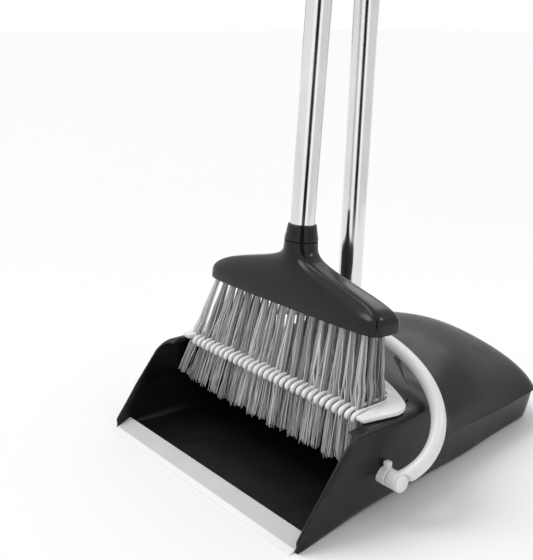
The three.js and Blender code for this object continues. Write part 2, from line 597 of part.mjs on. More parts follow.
function broomGrip() {
  // stations: [height above the mouth, half-width, half-depth]
  const stations = [[0, 12.6, 12.6], [2, 11.4, 11.4], [4, 11, 11], [20, 11.6, 11.6], [34, 10.9, 10.9],
    [60, 10.4, 10.4], [84, 10.8, 10.2], [104, 12.4, 9.4], [116, 14, 8.6], [124, 14.8, 8.2], [131, 13, 7.8],
    [136, 8.4, 7], [139, 2, 4.6]];
  const rings = stations.map(([rise, wide, deep]) => Array.from({ length: 20 }, (_, k) => {
    const turn = (k / 20) * Math.PI * 2;
    return new THREE.Vector3(wide * Math.cos(turn), deep * Math.sin(turn), BROOM_GRIP_Z + rise);
  }));
  const eye = rod(EYE_RADIUS, -30, 30, 28);
  eye.rotateX(Math.PI / 2);
  eye.translate(0, 0, EYE_Z);
  const screwHole = rod(2.9, -16, -9.6, 16);
  screwHole.rotateX(-Math.PI / 2);
  screwHole.translate(0, 0, BROOM_GRIP_Z + 24);
  return geometryOf(solidOf(loft(rings))
    .subtract(solidOf(rod(POLE_RADIUS + GAP, BROOM_GRIP_Z - 5, BROOM_GRIP_Z + 34.4)))
    .subtract(solidOf(eye)).subtract(solidOf(screwHole)));
}
place(broom, 'broom_grip', broomGrip(), GRIP_BLACK);

// Pressed-in pin that fixes the grip to the pole.
const pin = turned([[0, -11.6], [2, -11.6], [2.5, -11.2], [2.5, -9.9], [0, -9.9]], 16);
pin.rotateX(-Math.PI / 2);
pin.translate(0, 0, BROOM_GRIP_Z + 24);
place(broom, 'grip_pin', pin, SCREW_GREY);

export default root;
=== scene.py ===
import json
import math

import bmesh
import bpy
from mathutils import Matrix, Vector


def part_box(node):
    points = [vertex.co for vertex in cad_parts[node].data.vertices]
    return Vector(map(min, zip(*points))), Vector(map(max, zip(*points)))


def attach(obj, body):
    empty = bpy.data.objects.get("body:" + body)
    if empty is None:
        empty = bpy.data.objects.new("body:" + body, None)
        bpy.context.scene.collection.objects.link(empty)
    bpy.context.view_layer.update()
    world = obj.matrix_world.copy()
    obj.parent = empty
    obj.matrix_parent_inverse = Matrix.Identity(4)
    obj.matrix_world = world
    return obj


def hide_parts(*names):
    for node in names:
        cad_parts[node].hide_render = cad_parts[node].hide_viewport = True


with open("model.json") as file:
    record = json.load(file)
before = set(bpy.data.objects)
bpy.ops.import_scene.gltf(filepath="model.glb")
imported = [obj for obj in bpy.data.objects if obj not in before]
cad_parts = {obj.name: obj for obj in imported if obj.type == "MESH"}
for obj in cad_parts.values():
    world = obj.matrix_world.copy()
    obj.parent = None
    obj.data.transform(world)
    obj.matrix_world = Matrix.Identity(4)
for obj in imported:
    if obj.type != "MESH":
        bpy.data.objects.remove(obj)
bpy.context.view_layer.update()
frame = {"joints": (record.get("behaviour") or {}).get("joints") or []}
MM = 0.001

# ---------------------------------------------------------------- where the moving parts stand
HINGE = next(j for j in frame["joints"] if j["name"] == "handle_swing")
PIVOT = Vector(HINGE["pos_m"]) / MM
HANDLE_LEAN = math.radians(2.4)
BROOM_LEAN = math.radians(2.3)
BROOM_AT = Vector((0, 18.1, 90.9))
IN_PAN = Matrix.Identity(4)
IN_HANDLE = Matrix.Translation(PIVOT) @ Matrix.Rotation(-HANDLE_LEAN, 4, "X")
IN_BROOM = IN_HANDLE @ Matrix.Translation(BROOM_AT) @ Matrix.Rotation(-BROOM_LEAN, 4, "X")

# pan, in millimetres
LIP_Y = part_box("lip_strip")[0].y / MM
REAR_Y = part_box("pan_body")[1].y / MM
WALL = 2.4
HALF_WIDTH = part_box("pan_body")[1].x / MM
REAR_HALF_WIDTH = 96.0
FRONT_TOP = 69.0
HOOD_TOP = 81.0
CREST_Y = 60.0
CREASE_FRONT, CREASE_REAR = 36.0, 29.0
BOW_Y = 131.0
SEAT_HALF_WIDTH = 106.0
MOUTH_REAR_Y = -26.0
LIP_HALF_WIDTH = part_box("lip_strip")[1].x / MM

# handle and broom, in millimetres
BAIL_REACH = 75.1
BAIL_RISE = 66.0
BAIL_HALF_WIDTH = 138.9
BAIL_WIDEST = 25.0
BAIL_RADIUS = 5.4
BAIL_CURL = 1.3
HUB_RADIUS = 6.5
HUB_INNER, HUB_OUTER = 123.7, 133.2
POLE_RADIUS = 9.5
POLE_WALL = 0.8
BORE_RADIUS = 9.7
PAN_JOINTS = (349, 590)
BROOM_JOINTS = (305, 543, 781)
GRIP_Z = 816.0
CLIP_Z = 804.0
CLIP_HEIGHT = 11.7
BROOM_GRIP_Z = 1011.0
GRIP_PIN_Z = BROOM_GRIP_Z + 24
EYE_Z = 1135
EYE_RADIUS = 8.4
COLLAR_LOW, COLLAR_TOP = 49.3, 62.0
TOOTH_PITCH = 6.4
TEETH = 31


# ---------------------------------------------------------------- small mathematics
def lerp(a, b, t):
    return a + (b - a) * t


def clamp(t):
    return max(0.0, min(1.0, t))


def ease(low, high, value):
    t = clamp((value - low) / (high - low))
    return t * t * (3 - 2 * t)


def spow(value, power):
    return math.copysign(abs(value) ** power, value)


def spline(stations, samples):
    """Catmull-Rom through rows of numbers, `samples` points to each span."""
    rows = []
    for i in range(len(stations) - 1):
        a, b = stations[max(i - 1, 0)], stations[i]
        c, d = stations[i + 1], stations[min(i + 2, len(stations) - 1)]
        for k in range(samples):
            t = k / samples
            rows.append([
                0.5 * (2 * q + (r - p) * t + (2 * p - 5 * q + 4 * r - s) * t * t
                       + (3 * q - p - 3 * r + s) * t ** 3)
                for p, q, r, s in zip(a, b, c, d)])
    rows.append(list(stations[-1]))
    return rows


# ---------------------------------------------------------------- meshes
def mesh_object(name, points, faces, place=IN_PAN):
    mesh = bpy.data.meshes.new(name)
    mesh.from_pydata([place @ Vector(p) * MM for p in points], [], faces)
    mesh.validate()
    bm = bmesh.new()
    bm.from_mesh(mesh)
    bmesh.ops.remove_doubles(bm, verts=bm.verts, dist=1e-6)
    bmesh.ops.recalc_face_normals(bm, faces=bm.faces)
    bm.to_mesh(mesh)
    bm.free()
    obj = bpy.data.objects.new(name, mesh)
    bpy.context.scene.collection.objects.link(obj)
    return obj


def skin(rings, closed_ends=True):
    """Points and faces of a tube of equal rings, with a fan on each end."""
    count = len(rings[0])
    points = [Vector(p) for ring in rings for p in ring]
    faces = []
    for r in range(len(rings) - 1):
        for k in range(count):
            a, b = r * count + k, r * count + (k + 1) % count
            faces.append((a, b, b + count, a + count))
    if closed_ends:
        for first in (0, (len(rings) - 1) * count):
            hub = len(points)
            points.append(sum((points[first + k] for k in range(count)), Vector()) / count)
            faces += [(hub, first + k, first + (k + 1) % count) for k in range(count)]
    return points, faces


def turned(profile, segments=64, centre=(0, 0)):
    """Points and faces of a profile of (radius, height) pairs turned about a vertical line."""
    rings = [[(centre[0] + max(r, 1e-3) * math.cos(2 * math.pi * k / segments),
               centre[1] + max(r, 1e-3) * math.sin(2 * math.pi * k / segments), z)
              for k in range(segments)] for r, z in profile]
    closed = profile[0] == profile[-1]
    if closed:
        rings.pop()
        points, faces = skin(rings, closed_ends=False)
        last = (len(rings) - 1) * segments
        faces += [(last + k, last + (k + 1) % segments, (k + 1) % segments, k) for k in range(segments)]
        return points, faces
    return skin(rings)


def moved(part, matrix):
    points, faces = part
    return [matrix @ Vector(p) for p in points], faces


def box_part(low, high):
    points = [(x, y, z) for x in (low[0], high[0]) for y in (low[1], high[1]) for z in (low[2], high[2])]
    faces = [(0, 1, 3, 2), (4, 6, 7, 5), (0, 4, 5, 1), (2, 3, 7, 6), (0, 2, 6, 4), (1, 5, 7, 3)]
    return points, faces


def bake(obj):
    """Applies every modifier and leaves the object plain, at the origin."""
    bpy.context.view_layer.update()
    evaluated = obj.evaluated_get(bpy.context.evaluated_depsgraph_get())
    mesh = bpy.data.meshes.new_from_object(evaluated)
    obj.modifiers.clear()
    obj.data = mesh
    return obj


def smooth(obj, angle=40):
    obj.data.polygons.foreach_set("use_smooth", [True] * len(obj.data.polygons))
    obj.data.set_sharp_from_angle(angle=math.radians(angle))
    return obj


def soften(obj, width, segments=2, limit=35):
    bevel = obj.modifiers.new("edges", "BEVEL")
    bevel.width = width * MM
    bevel.segments = segments
    bevel.limit_method = "ANGLE"
    bevel.angle_limit = math.radians(limit)
    return bake(obj)


def moulded(name, solids, cuts, voxel, place, rounds=4):
    """One moulding: the solids are joined, the cuts taken away, and every edge rounded over."""
    base = mesh_object(name, *solids[0])
    helpers = []
    for operation, parts in (("UNION", solids[1:]), ("DIFFERENCE", cuts)):
        for i, part in enumerate(parts):
            helper = mesh_object(f"{name}_{operation.lower()}_{i}", *part)
            helpers.append(helper)
            step = base.modifiers.new("join", "BOOLEAN")
            step.operation = operation
            step.solver = "EXACT"
            step.object = helper
    bake(base)
    for helper in helpers:
        bpy.data.objects.remove(helper)
    remesh = base.modifiers.new("skin", "REMESH")
    remesh.mode = "VOXEL"
    remesh.voxel_size = voxel * MM
    relax = base.modifiers.new("relax", "SMOOTH")
    relax.factor = 0.5
    relax.iterations = rounds
    bake(base)
    shift = Matrix.Scale(MM, 4) @ place @ Matrix.Scale(1 / MM, 4)
    base.data.transform(shift)
    return smooth(base, 60)


def finish_piece(obj, body, slot, material, *nodes):
    obj.data.materials.clear()
    obj.data.materials.append(material)
    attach(obj, body)
    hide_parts(*nodes)
    return obj


# ---------------------------------------------------------------- finishes
def material(name, colour, roughness, metallic=0.0, **sockets):
    mat = bpy.data.materials.new(name)
    mat.use_nodes = True
    shader = mat.node_tree.nodes["Principled BSDF"]
    shader.inputs["Base Color"].default_value = (*colour, 1)
    shader.inputs["Roughness"].default_value = roughness
    shader.inputs["Metallic"].default_value = metallic
    for socket, value in sockets.items():
        shader.inputs[socket.replace("_", " ")].default_value = value
    return mat


def node(mat, kind, **values):
    made = mat.node_tree.nodes.new(kind)
    for key, value in values.items():
        if key in made.inputs:
            made.inputs[key].default_value = value
        else:
            setattr(made, key, value)
    return made


def stretched(mat, scale):
    """Object coordinates, stretched by a vector."""
    coords = node(mat, "ShaderNodeTexCoord")
    mapping = node(mat, "ShaderNodeMapping", Scale=scale)
    mat.node_tree.links.new(coords.outputs["Object"], mapping.inputs["Vector"])
    return mapping.outputs["Vector"]


def noise(mat, vector, scale, detail=3.0, distortion=0.0):
    made = node(mat, "ShaderNodeTexNoise", Scale=scale, Detail=detail, Distortion=distortion)
    mat.node_tree.links.new(vector, made.inputs["Vector"])
    return made.outputs["Fac"]


def spread(mat, factor, low, high, start=0.3, end=0.7):
    """A noise factor turned into a range of numbers."""
    ranger = node(mat, "ShaderNodeMapRange")
    for key, value in (("From Min", start), ("From Max", end), ("To Min", low), ("To Max", high)):
        ranger.inputs[key].default_value = value
    mat.node_tree.links.new(factor, ranger.inputs["Value"])
    return ranger.outputs["Result"]


def tint(mat, factor, dark, light, start=0.3, end=0.7):
    ramp = node(mat, "ShaderNodeValToRGB")
    for element, position, colour in zip(ramp.color_ramp.elements, (start, end), (dark, light)):
        element.position = position
        element.color = (*colour, 1)
    mat.node_tree.links.new(factor, ramp.inputs["Fac"])
    return ramp.outputs["Color"]


def shade(mat, colour=None, roughness=None, height=None, strength=0.1, distance=0.0002):
    shader = mat.node_tree.nodes["Principled BSDF"]
    link = mat.node_tree.links.new
    if colour:
        link(colour, shader.inputs["Base Color"])
    if roughness:
        link(roughness, shader.inputs["Roughness"])
    if height:
        bump = node(mat, "ShaderNodeBump", Strength=strength, Distance=distance)
        link(height, bump.inputs["Height"])
        link(bump.outputs["Normal"], shader.inputs["Normal"])
    return mat


def moulded_plastic(name, dark, light, rough_low, rough_high, grain=900.0, strength=0.12, gloss=0.5):
    """Moulded plastic: faint cloudy colour, uneven polish and a fine grain."""
    mat = material(name, light, rough_low, Specular_IOR_Level=gloss)
    plain = stretched(mat, (1, 1, 1))
    cloud = noise(mat, plain, 22.0, 4.0, 0.4)
    polish = noise(mat, plain, 60.0, 5.0)
    return shade(mat, tint(mat, cloud, dark, light), spread(mat, polish, rough_low, rough_high),
                 noise(mat, plain, grain, 2.0), strength)


PAN_BLACK = moulded_plastic("satin_pan_black", (0.0040, 0.0040, 0.0042), (0.0056, 0.0056, 0.0058),
                            0.28, 0.38, 900.0, 0.05, 0.3)
HEAD_BLACK = moulded_plastic("smooth_head_black", (0.0058, 0.0058, 0.006), (0.0075, 0.0075, 0.0078),
                             0.15, 0.22, 700.0, 0.04, 0.3)
GRIP_BLACK = moulded_plastic("stippled_grip_black", (0.008, 0.008, 0.0083), (0.012, 0.012, 0.0125),
                             0.42, 0.55, 1500.0, 0.3, 0.35)


def lip_rubber():
    """Grey rubber, paler on the front bevel, where it thins, and along its rear edge: a painted highlight where
    light catches these edges.
    """
    mat = moulded_plastic("lip_rubber_grey", (0.52, 0.52, 0.525), (0.58, 0.58, 0.585),
                          0.5, 0.66, 1300.0, 0.2, 0.3)
    shader = mat.node_tree.nodes["Principled BSDF"]
    body = shader.inputs["Base Color"].links[0].from_socket
    where = node(mat, "ShaderNodeTexCoord").outputs["Object"]
    split = node(mat, "ShaderNodeSeparateXYZ")
    mat.node_tree.links.new(where, split.inputs[0])
    # painted highlight: the colour turns pale on the front bevel and along the rear edge, where light catches
    # them
    front_highlight = spread(mat, split.outputs["Y"], 1.0, 0.0, (LIP_Y + 4.2) * MM, (LIP_Y + 4.8) * MM)
    rear = spread(mat, split.outputs["Y"], 0.0, 1.0, (LIP_Y + 16.2) * MM, (LIP_Y + 16.8) * MM)
    painted_highlight_mask = node(mat, "ShaderNodeMath", operation="MAXIMUM")
    mat.node_tree.links.new(front_highlight, painted_highlight_mask.inputs[0])
    mat.node_tree.links.new(rear, painted_highlight_mask.inputs[1])
    highlight_mix = node(mat, "ShaderNodeMix", data_type="RGBA")
    mat.node_tree.links.new(painted_highlight_mask.outputs[0], highlight_mix.inputs["Factor"])
    mat.node_tree.links.new(body, highlight_mix.inputs[6])
    # pale colour of the painted highlight
    highlight_mix.inputs[7].default_value = (0.86, 0.86, 0.86, 1.0)
    mat.node_tree.links.new(highlight_mix.outputs[2], shader.inputs["Base Color"])
    return mat


LIP_GREY = lip_rubber()
WHITE = moulded_plastic("moulded_white", (0.79, 0.79, 0.785), (0.84, 0.84, 0.835), 0.26, 0.36, 500.0, 0.05)
PIN_STEEL = moulded_plastic("pressed_pin_steel", (0.42, 0.42, 0.44), (0.5, 0.5, 0.52), 0.3, 0.45, 900.0, 0.1)
PIN_STEEL.node_tree.nodes["Principled BSDF"].inputs["Metallic"].default_value = 1.0


def pole_steel():
    """Polished tube: draw lines along its length and slight smudges."""
    mat = material("polished_pole_steel", (0.78, 0.785, 0.8), 0.12, 1.0)
    lines = noise(mat, stretched(mat, (1, 1, 0.012)), 900.0, 3.0)
    smudge = noise(mat, stretched(mat, (1, 1, 0.4)), 30.0, 4.0, 0.6)
    return shade(mat, tint(mat, smudge, (0.72, 0.725, 0.74), (0.82, 0.825, 0.84)),
                 spread(mat, smudge, 0.1, 0.2), lines, 0.06, 0.0001)


POLE_STEEL = pole_steel()


def bristle_plastic():
    """Each strand has its own shade, kept on the strand as an attribute."""
    mat = material("bristle_grey", (0.3, 0.3, 0.31), 0.38)
    own = node(mat, "ShaderNodeAttribute", attribute_name="strand_shade")
    flecks = noise(mat, stretched(mat, (1, 1, 0.15)), 1600.0, 2.0)
    colour = tint(mat, own.outputs["Fac"], (0.17, 0.17, 0.173), (0.86, 0.86, 0.87), 0.0, 1.0)
    return shade(mat, colour, spread(mat, flecks, 0.3, 0.48), flecks, 0.15, 0.0001)


BRISTLE_GREY = bristle_plastic()


# ---------------------------------------------------------------- pan body
def half_width(y):
    straight = lerp(HALF_WIDTH, REAR_HALF_WIDTH, ease(-70, BOW_Y + 60, y))
    past = clamp((y - BOW_Y) / (REAR_Y - BOW_Y))
    return straight * math.sqrt(max(0.0, 1 - past ** 3))


def crown_height(y):
    if y < CREST_Y:
        return lerp(FRONT_TOP, HOOD_TOP, ease(-5, CREST_Y + 10, y))
    past = (y - CREST_Y) / (REAR_Y - CREST_Y)
    return CREASE_REAR + (HOOD_TOP - 0.5 - CREASE_REAR) * math.sqrt(max(0.0, 1 - past ** 2))


def crease_height(y):
    return lerp(CREASE_FRONT, CREASE_REAR, ease(-20, 110, y))


def arch_power(y):
    return lerp(lerp(24, 2.6, ease(-52, 10, y)), 1.75, ease(10, 130, y))


def sole_height(y):
    past = clamp((y - 138) / (REAR_Y - 138))
    return (CREASE_REAR - 2) * (1 - math.sqrt(max(0.0, 1 - past ** 2)))


def sole_inset(y):
    return 17.5 * ease(LIP_Y - 10, -44, y) - 6 * ease(-30, CREST_Y, y)


LOWER_WALL = spline([[0, 0], [0.36, 0.07], [0.58, 0.3], [0.8, 0.64], [1, 1]], 4)
ARCH_STEPS = 30
FLOOR_STEPS = 10


def pan_ring(y, inside):
    """Half of one cross-section, from the middle of the floor to the middle of the hood."""
    wide = max(half_width(y) - inside, 0.6)
    crease = crease_height(y)
    top = max(crown_height(y) - inside, crease + 0.4)
    sole = sole_height(y) + inside
    ledge = 2.2 * ease(0, 90, y)
    foot = max(wide - sole_inset(y), wide * 0.4)
    half = [(foot * k / FLOOR_STEPS, sole) for k in range(FLOOR_STEPS)]
    half += [(lerp(foot, wide - ledge, s), lerp(sole, crease - 1.6, t)) for s, t in LOWER_WALL]
    half.append((wide - ledge * 0.55, crease - 1.1))
    power = 2 / arch_power(y)
    flare = 3.4 * ease(-25, 55, y) * clamp(wide / 40)
    for k in range(ARCH_STEPS + 1):
        # the hood sweeps out to a lip at the crease
        turn = (k / ARCH_STEPS) ** 1.15 * math.pi / 2
        rise = (top - crease) * spow(math.sin(turn), power)
        sweep = flare * (1 - math.exp(-rise / 5.5))
        half.append(((wide - sweep) * spow(math.cos(turn), power), crease + rise))
    return half


def mouth_profile():
    shoulder_y, shoulder_z, radius = LIP_Y + 71.3, 29.2, 40
    outline = [(LIP_Y + 5, 2.2), (LIP_Y + 4.6, 8)]
    for k in range(13):
        angle = math.radians(lerp(143, 90, k / 12))
        outline.append((shoulder_y + radius * math.cos(angle), shoulder_z + radius * math.sin(angle)))
    return outline


MOUTH = mouth_profile()


def mouth_start(x, z):
    """Where the body begins at a point of its section: the slanted edge, or the seat's rear edge."""
    y = MOUTH[-1][0]
    for (y0, z0), (y1, z1) in zip(MOUTH, MOUTH[1:]):
        if z0 <= z <= z1:
            y = lerp(y0, y1, (z - z0) / max(z1 - z0, 1e-6))
            break
    if z < MOUTH[0][1]:
        y = LIP_Y + 4.4
    if z > 60 and abs(x) < SEAT_HALF_WIDTH:
        across = abs(x) / SEAT_HALF_WIDTH
        corner = max(0.0, (abs(x) - (SEAT_HALF_WIDTH - 14)) / 14)
        y = MOUTH_REAR_Y - 7.5 * clamp(across / 0.87) ** 2 - 2.5 * corner - 14 * (1 - math.sqrt(1 - corner ** 2))
    return y


def body_start(index, inside):
    """Steps back from the lip until the section's point is outside the mouth."""
    y = LIP_Y + 3.0
    for _ in range(60):
        x, z = pan_ring(y, inside)[index]
        step = mouth_start(x, z) - y
        y += max(min(step, 6.0), -6.0) * 0.7
    return max(y, LIP_Y + 4.4)


ROWS = 54


def pan_rows(inside, rear):
    """Columns of points that run from the mouth's edge to the back, one for each section index."""
    count = len(pan_ring(0, inside))
    columns = []
    for index in range(count):
        start = body_start(index, inside)
        column = []
        for r in range(ROWS + 1):
            y = lerp(start, rear, math.sin((r / ROWS) * math.pi / 2))
            x, z = pan_ring(y, inside)[index]
            column.append(Vector((x, y, z)))
        columns.append(column)
    return columns


def pan_body():
    outer = pan_rows(0.0, REAR_Y - 0.2)
    inner = pan_rows(WALL, REAR_Y - WALL)
    rim = []
    for out, inn in zip(outer, inner):
        forward = (out[0] - out[1]).normalized() * 0.8
        # the two walls' edges draw back, and a rounded rim joins them
        a, b = out[0] - forward, inn[0] - forward
        out[0], inn[0] = a, b
        rim.append([a.lerp(b, 0.12) + forward * 0.6, a.lerp(b, 0.5) + forward, a.lerp(b, 0.88) + forward * 0.6])
    strips = [list(reversed(out)) + edge + inn for out, edge, inn in zip(outer, rim, inner)]
    full = strips + [[Vector((-p.x, p.y, p.z)) for p in strip] for strip in reversed(strips[1:-1])]
    points, faces = skin(full, closed_ends=False)
    length = len(full[0])
    last = (len(full) - 1) * length
    faces = [f for f in faces if max(f) - min(f) < 2 * length and abs(f[0] % length - f[1] % length) == 1]
    faces += [(last + k, last + k + 1, k + 1, k) for k in range(length - 1)]
    return smooth(mesh_object("pan_shell", points, faces), 38)


finish_piece(pan_body(), "pan", "satin_black_plastic", PAN_BLACK, "pan_body")


def lip_strip():
    """Soft strip: a thin bevelled front edge, then a flat band on the ramp."""
    rise, deep = 7.4, 16.5
    profile = [(0, 0.1), (3.6, 0.1), (deep + 0.9, rise - 1.2), (deep + 0.5, rise - 0.2), (deep - 0.4, rise - 0.1),
               (4.6, 2.45), (3.5, 2.0), (0.4, 0.8), (0, 0.6)]
    rings = [[(x, LIP_Y + y, z) for y, z in profile]
             for x in (-LIP_HALF_WIDTH, -LIP_HALF_WIDTH / 2, 0, LIP_HALF_WIDTH / 2, LIP_HALF_WIDTH)]
    strip = soften(mesh_object("lip_band", *skin(rings)), 0.3, 2, 25)
    return smooth(strip, 30)


finish_piece(lip_strip(), "pan", "lip_rubber", LIP_GREY, "lip_strip")

# ---------------------------------------------------------------- comb
COMB_LOW = FRONT_TOP + 0.3
COMB_TOP = COMB_LOW + 3.2
COMB_HALF = 114.5
TIP_Y = -79.0


def quad_curve(a, b, c, steps=8):
    return [tuple((1 - t) ** 2 * p + 2 * t * (1 - t) * q + t * t * r for p, q, r in zip(a, b, c))
            for t in (k / steps for k in range(1, steps + 1))]


def comb_outline():
    half = [(0, MOUTH_REAR_Y - 3)]
    half += quad_curve(half[-1], (40, MOUTH_REAR_Y - 3), (COMB_HALF - 32, MOUTH_REAR_Y - 7))
    half += quad_curve(half[-1], (COMB_HALF - 18, MOUTH_REAR_Y - 12), (COMB_HALF - 16, MOUTH_REAR_Y - 34))
    half += [(COMB_HALF - 13.5, TIP_Y - 1), (COMB_HALF - 6, TIP_Y - 1), (COMB_HALF, -53)]
    half += quad_curve(half[-1], (COMB_HALF + 0.5, -43), (COMB_HALF - 8, -37))
    half += quad_curve(half[-1], (60, -7), (0, -6), 16)
    return half[:-1] + [(0, -6)] + [(-x, y) for x, y in reversed(half[1:-1])]


def comb_tooth(x):
    """A finger that runs forward between the bristles and ends in a rounded, drooping tip."""
    root = MOUTH_REAR_Y - 0.5 - 8 * (abs(x) / 98) ** 6
    middle = (COMB_LOW + COMB_TOP) / 2
    path = [(root, middle, 1.3, 1.5), (-60, middle, 1.3, 1.5), (-68, middle + 0.1, 1.4, 1.5),
            (-73, middle - 0.1, 1.8, 1.6), (-76.2, middle - 1.3, 2.0, 1.75), (-77.5, middle - 3.2, 1.95, 1.7),
            (-77.5, middle - 4.8, 1.5, 1.3), (-77.2, middle - 5.8, 0.7, 0.6)]
    rows = spline([list(p) for p in path], 3)
    rings = []
    for i, (y, z, wide, thick) in enumerate(rows):
        ahead, behind = rows[min(i + 1, len(rows) - 1)], rows[max(i - 1, 0)]
        along = Vector((0, ahead[0] - behind[0], ahead[1] - behind[1])).normalized()
        normal = Vector((0, along.z, -along.y))
        ring = []
        for k in range(12):
            turn = 2 * math.pi * k / 12
            side, up = wide * spow(math.cos(turn), 0.8), thick * spow(math.sin(turn), 0.8)
            ring.append(Vector((x + side, y, z)) + normal * up)
        rings.append(ring)
    return skin(rings)


def comb():
    outline = comb_outline()
    points = [(x, y, z) for z in (COMB_LOW, COMB_TOP) for x, y in outline]
    count = len(outline)
    faces = [tuple(range(count)), tuple(range(count, 2 * count))]
    faces += [(k, (k + 1) % count, (k + 1) % count + count, k + count) for k in range(count)]
    plate = mesh_object("comb_plate", points, faces)
    soften(plate, 0.7, 3, 50)
    for i in range(TEETH):
        tooth = mesh_object(f"comb_tooth_{i}", *comb_tooth((i - (TEETH - 1) / 2) * TOOTH_PITCH))
        bm = bmesh.new()
        bm.from_mesh(plate.data)
        bm.from_mesh(tooth.data)
        bm.to_mesh(plate.data)
        bm.free()
        bpy.data.objects.remove(tooth)
    return smooth(plate, 45)


finish_piece(comb(), "pan", "white_plastic", WHITE, "comb")


# ---------------------------------------------------------------- pivots and bail
def along_x(part, side=1):
    """Turns an upright part onto the pivot line; height becomes the distance to that side."""
    turn = Matrix.Rotation(math.pi / 2 * side, 4, "Y")
    return moved(part, turn)


BUSH_INNER, BUSH_OUTER = 113.6, 123.4
BUSH_BORE = 3.4
LUG_INNER, LUG_OUTER = 118.7, 123.1
LUG_HALF_DEPTH = 2.2
LUG_LOW, LUG_TOP = 5.0, 11.4


def bush(side):
    """Collar on the axle between the wall and the bail, with the small lug that stops the bail's swing."""
    profile = [(BUSH_BORE, BUSH_INNER), (6.5, BUSH_INNER), (6.5, BUSH_OUTER - 0.5), (6.1, BUSH_OUTER),
               (BUSH_BORE, BUSH_OUTER), (BUSH_BORE, BUSH_INNER)]
    barrel = along_x(turned(profile), side)
    low, high = sorted((side * LUG_INNER, side * LUG_OUTER))
    lug = box_part((low, -LUG_HALF_DEPTH, LUG_LOW), (high, LUG_HALF_DEPTH, LUG_TOP))
    name = "left" if side < 0 else "right"
    piece = moulded(f"stop_bush_{name}", [barrel, lug], [], 0.35, Matrix.Translation(PIVOT), 3)
    return finish_piece(piece, "pan", "white_plastic", WHITE, f"pivot_bush_{name}")


for SIDE in (-1, 1):
    bush(SIDE)


def bail_centre(t):
    """The bail's centre line in the handle's frame, from one hub at t = 0 to the other at t = 1."""
    span = math.hypot(BAIL_REACH, BAIL_RISE)
    tilt = math.atan2(BAIL_RISE, BAIL_REACH)
    start = math.asin(-BAIL_WIDEST / (span - BAIL_WIDEST))
    angle = lerp(start, math.pi - start, t)
    curl = BAIL_CURL if angle < 0 or angle > math.pi else 1.0
    out = BAIL_WIDEST + (span - BAIL_WIDEST) * math.sin(angle)
    return Vector((BAIL_HALF_WIDTH * spow(math.cos(angle), curl), out * math.cos(tilt), out * math.sin(tilt)))


def bail():
    """Arched tube, its two hubs, and the socket that takes the pole."""
    steps, around = 150, 28
    plane_up = Vector((0, -BAIL_RISE, BAIL_REACH)).normalized()
    rings = []
    for i in range(steps + 1):
        t = i / steps
        along = (bail_centre(min(t + 0.002, 1)) - bail_centre(max(t - 0.002, 0))).normalized()
        across = along.cross(plane_up).normalized()
        rings.append([bail_centre(t) + across * BAIL_RADIUS * math.cos(2 * math.pi * k / around)
                      + plane_up * BAIL_RADIUS * math.sin(2 * math.pi * k / around) for k in range(around)])
    solids = [skin(rings)]
    cuts = []
    for side in (-1, 1):
        solids.append(along_x(turned([(0, HUB_INNER), (HUB_RADIUS, HUB_INNER), (HUB_RADIUS, HUB_OUTER),
                                      (0, HUB_OUTER)]), side))
        cuts.append(along_x(turned([(0, HUB_OUTER), (HUB_RADIUS + 0.3, HUB_OUTER), (HUB_RADIUS + 0.3, 155),
                                    (0, 155)]), side))
        low, high = sorted((side * 90, side * HUB_INNER))
        cuts.append(box_part((low, -12, -12), (high, 12, 12)))
    # pole socket
    low, top = BAIL_RISE - 14, BAIL_RISE + 20
    solids.append(turned([(0, low), (11.4, low), (12.7, low + 2), (13, top - 1.4), (12.2, top), (0, top)], 64,
                         (0, BAIL_REACH)))
    cuts.append(turned([(0, low + 4), (POLE_RADIUS + 0.2, low + 4), (POLE_RADIUS + 0.2, top + 5),
                        (0, top + 5)], 64, (0, BAIL_REACH)))
    return moulded("bail_arch", solids, cuts, 0.8, IN_HANDLE, 4)


finish_piece(bail(), "handle", "white_plastic", WHITE, "bail")


def round_piece(name, profile, place, body, slot, mat, *nodes, centre=(0, 0), sharp=40):
    """A turned piece, placed and finished."""
    piece = smooth(mesh_object(name, *turned(profile, 64, centre), place), sharp)
    return finish_piece(piece, body, slot, mat, *nodes)


for SIDE, NAME in ((-1, "left"), (1, "right")):
    OUT = HUB_OUTER + 0.3
    CAP = [(0, OUT), (6.3, OUT), (6.5, OUT + 0.3), (6.3, OUT + 0.9), (5.7, OUT + 1.5), (4.6, OUT + 1.9),
           (0, OUT + 2.2)]
    round_piece(f"end_cap_{NAME}", CAP, IN_HANDLE @ Matrix.Rotation(math.pi / 2 * SIDE, 4, "Y"), "handle",
                "white_plastic", WHITE, f"pivot_cap_{NAME}")
    STUB = [(0, 108.6), (4.8, 108.6), (5.4, 109.1), (5.4, 111), (3, 111), (3, 130), (0, 130)]
    round_piece(f"axle_stub_{NAME}", STUB,
                Matrix.Translation(PIVOT) @ Matrix.Rotation(math.pi / 2 * SIDE, 4, "Y"), "pan",
                "satin_black_plastic", PAN_BLACK, f"pivot_stub_{NAME}")


